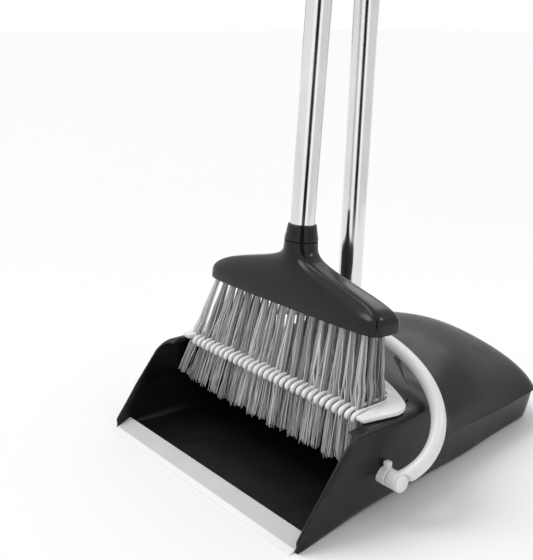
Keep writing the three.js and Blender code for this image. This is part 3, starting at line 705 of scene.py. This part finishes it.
# ---------------------------------------------------------------- poles
def pole(prefix, body, place, y, ends):
    """Steel sections that butt inside white sleeves over a stud."""
    for i in range(len(ends) - 1):
        low = ends[i] + (0.15 if i else 0)
        high = ends[i + 1] - (0.15 if i + 2 < len(ends) else 0)
        inner = POLE_RADIUS - POLE_WALL
        profile = [(inner, low), (POLE_RADIUS, low), (POLE_RADIUS, high), (inner, high), (inner, low)]
        round_piece(f"{prefix}_tube_{i + 1}", profile, place, body, "polished_steel", POLE_STEEL,
                    f"{prefix}_pole_{i + 1}", centre=(0, y))
    for i in range(1, len(ends) - 1):
        z = ends[i]
        sleeve = [(BORE_RADIUS, z - 20), (11.2, z - 20), (11.7, z - 19.7), (12, z - 19), (12, z - 16.4),
                  (11.7, z - 16), (11.7, z + 16), (12, z + 16.4), (12, z + 19), (11.7, z + 19.7), (11.2, z + 20),
                  (BORE_RADIUS, z + 20), (BORE_RADIUS, z - 20)]
        round_piece(f"{prefix}_joint_{i}", sleeve, place, body, "white_plastic", WHITE, f"{prefix}_sleeve_{i}",
                    centre=(0, y), sharp=30)
        stud = [(0, z - 28), (6.6, z - 28), (8.3, z - 25), (8.3, z + 25), (6.6, z + 28), (0, z + 28)]
        round_piece(f"{prefix}_thread_{i}", stud, place, body, "white_plastic", WHITE, f"{prefix}_stud_{i}",
                    centre=(0, y))


pole("pan", "handle", IN_HANDLE, BAIL_REACH, [BAIL_RISE - 9.7, *PAN_JOINTS, GRIP_Z + 24])
pole("broom", "broom", IN_BROOM, 0, [18.3, *BROOM_JOINTS, BROOM_GRIP_Z + 34])

# ---------------------------------------------------------------- broom head
# [height, half-length, half-depth at the middle, half-depth at the ends, squareness]
HEAD = [[0, 96.2, 16.7, 16.2, 6.5], [0.7, 96.8, 17.2, 16.6, 6.5], [2, 97, 17.4, 16.8, 6.5],
        [9, 97, 17.2, 16.2, 6.5], [13.5, 94.5, 16.9, 14.6, 5.5], [17, 89, 16.5, 12.6, 5], [20.5, 80, 16, 11, 4.6],
        [24, 67, 15.5, 9.8, 4.2], [27.5, 52, 15, 9.4, 3.8], [31.5, 35.5, 14.4, 9.6, 3.2],
        [36, 22, 13.6, 10.8, 2.5], [40.5, 15.4, 13.1, 12.2, 2.1], [45, 13.4, 13, 13, 2], [48.4, 13, 13, 13, 2],
        [48.9, 12.6, 12.6, 12.6, 2]]
HEAD_SIDES = 144
END_TAPER = 1.3


def head_ring(z, long, deep, end_deep, square):
    """One level of the head: a squared oval that draws in towards its ends."""
    ring = []
    for k in range(HEAD_SIDES):
        turn = 2 * math.pi * k / HEAD_SIDES
        out = spow(math.cos(turn), 2 / square)
        depth = lerp(deep, end_deep, abs(out) ** END_TAPER)
        ring.append((long * out, depth * spow(math.sin(turn), 2 / square), z))
    return ring


def broom_head():
    """The moulding above, and the rebate under it that the tuft bar sits in."""
    rings = [head_ring(*station) for station in spline(HEAD, 5)]
    long, deep, end_deep, square = HEAD[0][1:]
    under = [head_ring(z, long - inset, deep - inset, end_deep - inset, square)
             for z, inset in ((5.8, 1.8), (0.3, 1.6), (0, 1.2))]
    return smooth(mesh_object("head_moulding", *skin(under + rings), IN_BROOM), 35)


finish_piece(broom_head(), "broom", "head_black_plastic", HEAD_BLACK, "broom_head")
COLLAR = [(BORE_RADIUS, COLLAR_LOW), (12.7, COLLAR_LOW), (13, COLLAR_LOW + 0.4), (12.8, COLLAR_LOW + 3),
          (12.2, 54.5), (11.1, 61.2), (10.7, 61.8), (10.2, COLLAR_TOP), (BORE_RADIUS, COLLAR_TOP),
          (BORE_RADIUS, COLLAR_LOW)]
round_piece("neck_collar", COLLAR, IN_BROOM, "broom", "head_black_plastic", HEAD_BLACK, "head_collar")
TUFT_BAR_LOW, TUFT_BAR_HIGH = (-91.6, -15.1, 1), (91.6, 15.1, 5.6)
TUFT_BAR = mesh_object("tuft_bar", *box_part(TUFT_BAR_LOW, TUFT_BAR_HIGH), IN_BROOM)
finish_piece(smooth(soften(TUFT_BAR, 0.6)), "broom", "head_black_plastic", HEAD_BLACK, "tuft_plate")


# ---------------------------------------------------------------- bristles
class Tree:
    """A Geometry Nodes group in the making, with short ways to add and join nodes."""

    def __init__(self, name):
        self.group = bpy.data.node_groups.new(name, "GeometryNodeTree")
        self.group.interface.new_socket("Geometry", in_out="OUTPUT", socket_type="NodeSocketGeometry")
        self.inputs = {}
        self.entry = self.group.nodes.new("NodeGroupInput")
        self.exit = self.group.nodes.new("NodeGroupOutput")

    def size(self, name, value, kind="NodeSocketFloat"):
        socket = self.group.interface.new_socket(name, in_out="INPUT", socket_type=kind)
        self.inputs[name] = (socket.identifier, value)

    def given(self, name):
        return self.entry.outputs[name]

    def add(self, kind, inputs=(), **settings):
        made = self.group.nodes.new(kind)
        for key, value in settings.items():
            setattr(made, key, value)
        for key, value in dict(inputs).items():
            if isinstance(value, bpy.types.NodeSocket):
                self.group.links.new(value, made.inputs[key])
            else:
                made.inputs[key].default_value = value
        return made

    def math(self, operation, a, b=0.0):
        return self.add("ShaderNodeMath", {0: a, 1: b}, operation=operation).outputs[0]

    def vector(self, x, y, z):
        return self.add("ShaderNodeCombineXYZ", {"X": x, "Y": y, "Z": z}).outputs[0]

    def random(self, low, high, index, seed):
        made = self.add("FunctionNodeRandomValue", {"ID": index, "Seed": seed}, data_type="FLOAT")
        made.inputs[2].default_value = low
        made.inputs[3].default_value = high
        return made.outputs[1]

    def apply(self, obj):
        modifier = obj.modifiers.new(self.group.name, "NODES")
        modifier.node_group = self.group
        for identifier, value in self.inputs.values():
            modifier[identifier] = value
        return bake(obj)


def bristle_tree():
    """Rows of tufts. A strand leaves its hole, gathers between the comb's teeth and fans to its tip."""
    tree = Tree("bristle_tufts")
    tree.size("Rows", 3, "NodeSocketInt")
    tree.size("Tufts", 17, "NodeSocketInt")
    tree.size("Strands", 36, "NodeSocketInt")
    tree.size("Row pitch", 0.0089)
    tree.size("Tuft pitch", 0.0107)
    tree.size("Side shift", -0.0033)
    tree.size("Length", 0.0975)
    tree.size("Hole radius", 0.0019)
    tree.size("Fan", 0.0054)
    tree.size("Side flare", 0.17)
    tree.size("Side lean", -0.001)
    tree.size("Strand radius", 0.0005)
    tree.size("Comb depth", 0.0495)
    tree.size("Comb pitch", 0.0064)
    tree.size("Strand finish", BRISTLE_GREY, "NodeSocketMaterial")
    m, given = tree.math, tree.given
    per_row = m("MULTIPLY", given("Tufts"), given("Strands"))
    total = m("MULTIPLY", per_row, given("Rows"))
    line = tree.add("GeometryNodeMeshLine", {"Count": total})
    index = tree.add("GeometryNodeInputIndex").outputs[0]
    row = m("FLOOR", m("DIVIDE", index, per_row))
    tuft = m("FLOOR", m("DIVIDE", m("MODULO", index, per_row), given("Strands")))
    middle = m("DIVIDE", m("SUBTRACT", given("Tufts"), 1.0), 2.0)
    tuft_x = m("ADD", m("MULTIPLY", m("SUBTRACT", tuft, middle), given("Tuft pitch")), given("Side shift"))
    middle_row = m("DIVIDE", m("SUBTRACT", given("Rows"), 1.0), 2.0)
    row_y = m("MULTIPLY", m("SUBTRACT", row, middle_row), given("Row pitch"))
    angle = tree.random(0.0, 2 * math.pi, index, 11)
    reach = m("SQRT", tree.random(0.0, 1.0, index, 23))
    out_x, out_y = m("MULTIPLY", reach, m("COSINE", angle)), m("MULTIPLY", reach, m("SINE", angle))
    root = tree.vector(m("ADD", tuft_x, m("MULTIPLY", out_x, given("Hole radius"))),
                       m("ADD", row_y, m("MULTIPLY", out_y, given("Hole radius"))), 0.0)
    tuft_index = m("ADD", m("MULTIPLY", row, 100.0), tuft)
    tuft_lean = m("ADD", tree.random(-0.0018, 0.0018, tuft_index, 31), given("Side lean"))
    tip_x = m("ADD", m("ADD", m("MULTIPLY", tuft_x, m("ADD", given("Side flare"), 1.0)),
                       m("MULTIPLY", out_x, given("Fan"))), tuft_lean)
    tip_x = m("ADD", tip_x, tree.random(-0.002, 0.002, index, 37))
    tip_y = m("ADD", m("ADD", m("MULTIPLY", row_y, 1.5), m("MULTIPLY", out_y, m("MULTIPLY", given("Fan"), 0.6))),
              tree.random(-0.0115, -0.0085, index, 41))
    # the tufts at the left end splay outwards, forwards and up
    end = m("POWER", m("MAXIMUM", m("MULTIPLY", tuft_x, -1.0 / 0.09), 0.0), 3.0)
    tip_x = m("SUBTRACT", tip_x, m("MULTIPLY", end, 0.004))
    tip_y = m("SUBTRACT", tip_y, m("MULTIPLY", end, 0.004))
    length = m("SUBTRACT", given("Length"), m("ADD", tree.random(0.0, 0.0045, index, 43),
                                              tree.random(0.0, 0.003, tuft_index, 47)))
    length = m("SUBTRACT", length, m("MULTIPLY", end, 0.006))
    tip = tree.vector(tip_x, tip_y, m("MULTIPLY", length, -1.0))
    bend = tree.vector(tree.random(-0.0022, 0.0022, index, 53), tree.random(-0.0014, 0.0014, index, 59), 0.0)
    tone = m("ADD", m("MULTIPLY", tree.random(0.0, 1.0, index, 61), 0.75),
             m("MULTIPLY", tree.random(0.0, 1.0, tuft_index, 67), 0.25))

    strand = tree.add("GeometryNodeCurvePrimitiveLine", {"Start": (0, 0, 0), "End": (0, 0, -1)})
    cloud = tree.add("GeometryNodeMeshToPoints", {"Mesh": line.outputs[0]}).outputs[0]
    for name, value, kind in (("root", root, "FLOAT_VECTOR"), ("tip", tip, "FLOAT_VECTOR"),
                              ("bend", bend, "FLOAT_VECTOR"), ("strand_shade", tone, "FLOAT")):
        store = tree.add("GeometryNodeStoreNamedAttribute", {"Geometry": cloud, "Name": name, "Value": value},
                         data_type=kind, domain="POINT")
        cloud = store.outputs[0]
    copies = tree.add("GeometryNodeInstanceOnPoints", {"Points": cloud, "Instance": strand.outputs[0]})
    real = tree.add("GeometryNodeRealizeInstances", {"Geometry": copies.outputs[0]})
    fine = tree.add("GeometryNodeResampleCurve", {"Curve": real.outputs[0], "Count": 10})

    def named(name):
        return tree.add("GeometryNodeInputNamedAttribute", {"Name": name}, data_type="FLOAT_VECTOR").outputs[0]

    def vmath(operation, a, b=None, scale=None):
        inputs = {0: a}
        if b is not None:
            inputs[1] = b
        if scale is not None:
            inputs["Scale"] = scale
        return tree.add("ShaderNodeVectorMath", inputs, operation=operation).outputs[0]

    t = tree.add("GeometryNodeSplineParameter").outputs["Factor"]
    span = vmath("SUBTRACT", named("tip"), named("root"))
    bow = m("SINE", m("MULTIPLY", t, math.pi))
    place = vmath("ADD", vmath("ADD", named("root"), vmath("SCALE", span, scale=t)),
                  vmath("SCALE", named("bend"), scale=bow))
    split = tree.add("ShaderNodeSeparateXYZ", {0: place}).outputs
    # near the comb a strand keeps to the gap between two teeth
    cell = m("DIVIDE", split[0], given("Comb pitch"))
    off = m("SUBTRACT", m("SUBTRACT", cell, m("FLOOR", cell)), 0.5)
    away = m("DIVIDE", m("ADD", split[2], given("Comb depth")), 0.014)
    near = m("DIVIDE", 1.0, m("ADD", 1.0, m("POWER", m("ABSOLUTE", away), 3.0)))
    pull = m("MULTIPLY", m("MULTIPLY", m("MULTIPLY", off, given("Comb pitch")), near), 0.6)
    gathered = tree.vector(m("SUBTRACT", split[0], pull), split[1], split[2])
    laid = tree.add("GeometryNodeSetPosition", {"Geometry": fine.outputs[0], "Position": gathered})
    taper = m("SUBTRACT", 1.0, m("MULTIPLY", m("POWER", t, 6.0), 0.45))
    sized = tree.add("GeometryNodeSetCurveRadius", {"Curve": laid.outputs[0], "Radius": taper})
    section = tree.add("GeometryNodeCurvePrimitiveCircle", {"Resolution": 4, "Radius": given("Strand radius")})
    solid = tree.add("GeometryNodeCurveToMesh", {"Curve": sized.outputs[0], "Profile Curve": section.outputs[0],
                                                 "Fill Caps": True, "Scale": taper})
    whole = tree.add("GeometryNodeRealizeInstances", {"Geometry": solid.outputs[0]})
    done = tree.add("GeometryNodeSetMaterial", {"Geometry": whole.outputs[0], "Material": given("Strand finish")})
    tree.group.links.new(done.outputs[0], tree.exit.inputs[0])
    return tree


def bristles():
    obj = bpy.data.objects.new("bristle_tufts", bpy.data.meshes.new("bristle_tufts"))
    bpy.context.scene.collection.objects.link(obj)
    bristle_tree().apply(obj)
    for name in ("root", "tip", "bend"):
        found = obj.data.attributes.get(name)
        if found:
            obj.data.attributes.remove(found)
    shift = Matrix.Scale(MM, 4) @ IN_BROOM @ Matrix.Translation((0, 0, 1.2)) @ Matrix.Scale(1 / MM, 4)
    obj.data.transform(shift)
    obj.data.polygons.foreach_set("use_smooth", [True] * len(obj.data.polygons))
    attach(obj, "broom")
    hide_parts(*[f"bristle_row_{i}" for i in (1, 2, 3)])
    return obj


bristles()


# ---------------------------------------------------------------- grips and clip
def pan_grip():
    """Socket, knee with a small heel, and an arm with finger slots that swells to a ball."""
    stations = [[-12.8, 31, 1.2, 1], [-12.4, 30.6, 4.4, 4], [-9, 27.5, 8.8, 8.8], [0, 26, 11.4, 13.5],
                [12, 30.5, 12.2, 14.5], [28, 37.5, 12, 13.2], [48, 46, 12, 12.6], [68, 54, 12.4, 12.8],
                [84, 60, 13.8, 14], [98, 65, 15, 15.2], [108, 68.6, 13.2, 13.4], [114, 70.8, 8.6, 8.8],
                [116, 71.5, 2.4, 2.4]]
    rows = spline(stations, 6)
    rings = []
    for i, (reach, rise, wide, high) in enumerate(rows):
        ahead, behind = rows[min(i + 1, len(rows) - 1)], rows[max(i - 1, 0)]
        along = Vector((0, ahead[0] - behind[0], ahead[1] - behind[1])).normalized()
        up = Vector((0, -along.z, along.y))
        rings.append([Vector((wide * math.cos(2 * math.pi * k / 48), BAIL_REACH + reach, GRIP_Z + rise))
                      + up * high * math.sin(2 * math.pi * k / 48) for k in range(48)])
    socket = turned([(0, GRIP_Z), (11.2, GRIP_Z), (11.6, GRIP_Z + 0.6), (11.6, GRIP_Z + 26),
                     (0, GRIP_Z + 30)], 64, (0, BAIL_REACH))
    bore = turned([(0, GRIP_Z - 5), (BORE_RADIUS, GRIP_Z - 5), (BORE_RADIUS, GRIP_Z + 24.5),
                   (0, GRIP_Z + 24.5)], 64, (0, BAIL_REACH))
    slots = []
    for i in range(8):
        reach = 22 + i * 8.4
        rise = 35 + (reach - 22) * 0.405 - 14.2
        place = Matrix.Translation((0, BAIL_REACH + reach, GRIP_Z + rise)) @ Matrix.Rotation(0.38, 4, "X")
        slots.append(moved(box_part((-20, -1.7, -2.6), (20, 1.7, 2.6)), place))
    return moulded("bent_grip", [skin(rings), socket], [bore] + slots, 0.7, IN_HANDLE, 3)


finish_piece(pan_grip(), "handle", "grip_black", GRIP_BLACK, "pan_grip")


def broom_clip():
    """Ring on the pan pole and an open jaw that the broom pole snaps into."""
    at_y = BROOM_AT.y + (CLIP_Z + 6 - BROOM_AT.z) * math.tan(BROOM_LEAN)
    low, top = CLIP_Z, CLIP_Z + CLIP_HEIGHT

    def disc(radius, z0, z1, y):
        return turned([(0, z0), (radius, z0), (radius, z1), (0, z1)], 64, (0, y))

    solids = [disc(12.8, low, top, BAIL_REACH), disc(POLE_RADIUS + 3.4, low, top, at_y),
              box_part((-4, at_y, low), (4, BAIL_REACH, top))]
    groove = POLE_RADIUS + 0.6
    cuts = [disc(POLE_RADIUS + 0.2, low - 5, top + 5, BAIL_REACH), disc(groove, low - 5, top + 5, at_y),
            box_part((-groove, at_y - 30, low - 5), (groove, at_y, top + 5))]
    return moulded("pole_clip", solids, cuts, 0.45, IN_HANDLE, 3)


finish_piece(broom_clip(), "handle", "grip_black", GRIP_BLACK, "broom_clip")


def broom_grip():
    """Flared mouth, slim waist and a flattened end with a hanging eye."""
    stations = [[0, 12.4, 12.4], [1, 12.2, 12.2], [2.4, 11.4, 11.4], [5, 11, 11], [20, 11.6, 11.6],
                [34, 10.9, 10.9], [60, 10.4, 10.4], [84, 10.8, 10.2], [104, 12.4, 9.4], [116, 14, 8.6],
                [124, 14.7, 8.2], [131, 13, 7.8], [136, 8.4, 7], [138.8, 2, 4.6]]
    rings = [[(wide * math.cos(2 * math.pi * k / 48), deep * math.sin(2 * math.pi * k / 48), BROOM_GRIP_Z + rise)
              for k in range(48)] for rise, wide, deep in spline(stations, 5)]
    across = Matrix.Rotation(math.pi / 2, 4, "X")
    eye = moved(turned([(0, -30), (EYE_RADIUS, -30), (EYE_RADIUS, 30), (0, 30)]),
                Matrix.Translation((0, 0, EYE_Z)) @ across)
    pin_seat = moved(turned([(0, 9.7), (2.9, 9.7), (2.9, 16), (0, 16)]),
                     Matrix.Translation((0, 0, GRIP_PIN_Z)) @ across)
    bore = turned([(0, BROOM_GRIP_Z - 5), (BORE_RADIUS, BROOM_GRIP_Z - 5), (BORE_RADIUS, BROOM_GRIP_Z + 34.4),
                   (0, BROOM_GRIP_Z + 34.4)])
    return moulded("hanging_grip", [skin(rings)], [eye, pin_seat, bore], 0.6, IN_BROOM, 3)


finish_piece(broom_grip(), "broom", "grip_black", GRIP_BLACK, "broom_grip")
round_piece("grip_rivet", [(0, 9.9), (2.4, 9.9), (2.5, 10.2), (2.5, 11.1), (1.9, 11.5), (0, 11.6)],
            IN_BROOM @ Matrix.Translation((0, 0, GRIP_PIN_Z)) @ Matrix.Rotation(math.pi / 2, 4, "X"),
            "broom", "pin_steel", PIN_STEEL, "grip_pin")


# ---------------------------------------------------------------- floor, light and camera
FLOOR_REACH = 30.0


def studio_floor():
    mesh = bpy.data.meshes.new("studio_floor")
    corners = [(x * FLOOR_REACH, y * FLOOR_REACH, 0) for x, y in ((-1, -1), (1, -1), (1, 1), (-1, 1))]
    mesh.from_pydata(corners, [], [(0, 1, 2, 3)])
    floor = bpy.data.objects.new("studio_floor", mesh)
    bpy.context.scene.collection.objects.link(floor)
    mesh.materials.append(material("floor_white", (0.92, 0.92, 0.92), 0.7))


def studio_air():
    """Even light from all round, a little stronger from above; a white backdrop behind the object."""
    world = bpy.data.worlds.new("studio_air")
    bpy.context.scene.world = world
    world.use_nodes = True
    tree = world.node_tree
    link = tree.links.new

    def mixed(factor, low, high):
        ranger = tree.nodes.new("ShaderNodeMapRange")
        link(factor, ranger.inputs["Value"])
        for key, value in (("To Min", low), ("To Max", high)):
            if isinstance(value, bpy.types.NodeSocket):
                link(value, ranger.inputs[key])
            else:
                ranger.inputs[key].default_value = value
        return ranger.outputs["Result"]

    coords = tree.nodes.new("ShaderNodeTexCoord")
    split = tree.nodes.new("ShaderNodeSeparateXYZ")
    link(coords.outputs["Generated"], split.inputs[0])
    path = tree.nodes.new("ShaderNodeLightPath")
    level = mixed(split.outputs["Z"], AIR_LOW, AIR_HIGH)
    link(mixed(path.outputs["Is Camera Ray"], level, 1.0), tree.nodes["Background"].inputs["Strength"])
    tree.nodes["Background"].inputs["Color"].default_value = (1, 1, 1, 1)


def light_card(name, start, end, low, high, level):
    """A curved card round the set, between two bearings from the viewer's side, that only gloss sees."""
    steps = max(2, int((end - start) / CARD_STEP))
    reach = CARD_REACH * (RAISED_CARD_REACH if low > 0 else 1.0)
    points = []
    for i in range(steps + 1):
        bearing = math.radians(VIEW_BEARING + lerp(start, end, i / steps))
        for z in (low, high):
            points.append((reach * math.cos(bearing), reach * math.sin(bearing), z))
    faces = [(2 * i, 2 * i + 2, 2 * i + 3, 2 * i + 1) for i in range(steps)]
    mesh = bpy.data.meshes.new(name)
    mesh.from_pydata(points, [], faces)
    card = bpy.data.objects.new(name, mesh)
    bpy.context.scene.collection.objects.link(card)
    glow = material(name, (0, 0, 0), 1.0, Specular_IOR_Level=0.0, Emission_Color=(1, 1, 1, 1),
                    Emission_Strength=level)
    mesh.materials.append(glow)
    card.visible_camera = card.visible_diffuse = card.visible_shadow = False
    card.visible_transmission = card.visible_volume_scatter = False


def soft_sun(name, toward, strength, spread):
    """Wide, soft-edged light from one direction."""
    light = bpy.data.lights.new(name, "SUN")
    light.energy = strength
    light.angle = math.radians(spread)
    obj = bpy.data.objects.new(name, light)
    obj.rotation_euler = Vector(toward).to_track_quat("Z", "Y").to_euler()
    obj.location = (0, 0, 3)
    bpy.context.scene.collection.objects.link(obj)


VIEW_BEARING = -39.2
AIR_LOW, AIR_HIGH = 0.55, 0.85
CARD_REACH = 0.9
RAISED_CARD_REACH = 0.96  # a raised card hangs a little inside the ones that stand on the floor
CARD_STEP = 4
# name, bearings from the viewer's side, lowest and highest edge, brightness
CARDS = [("dark_gap", -13, 15, 0.0, 2.6, 0.0), ("left_bright", -40, -13, 0.0, 2.6, 1.1),
         ("right_bright", 15, 36, 0.0, 2.6, 1.15), ("right_grey", 36, 140, 0.0, 2.6, 0.78),
         ("left_soft", -140, -40, 0.0, 2.6, 0.92), ("hood_sheen", 140, 190, 0.55, 1.7, 2.4),
         ("left_box", -78, -58, 0.75, 1.5, 6.0), ("right_box", 72, 92, 0.75, 1.5, 6.0)]
studio_floor()
studio_air()
for CARD in CARDS:
    light_card(*CARD)
soft_sun("key", (-0.71, -0.32, 1.3), 1.2, 38)

CAMERA_AT = Vector((0.471, -0.4604, 0.3283))
AZIMUTH = math.radians(50.8)
ELEVATION = math.radians(16.8)
lens = bpy.data.cameras.new("camera")
lens.sensor_fit = "HORIZONTAL"
lens.sensor_width = 36.0
lens.lens = 57.455
lens.clip_start = 0.02
lens.clip_end = 100
camera = bpy.data.objects.new("camera", lens)
camera.location = CAMERA_AT
camera.rotation_euler = (math.pi / 2 - ELEVATION, 0, AZIMUTH)
bpy.context.scene.collection.objects.link(camera)
bpy.context.scene.camera = camera
bpy.context.scene.view_settings.view_transform = "Standard"
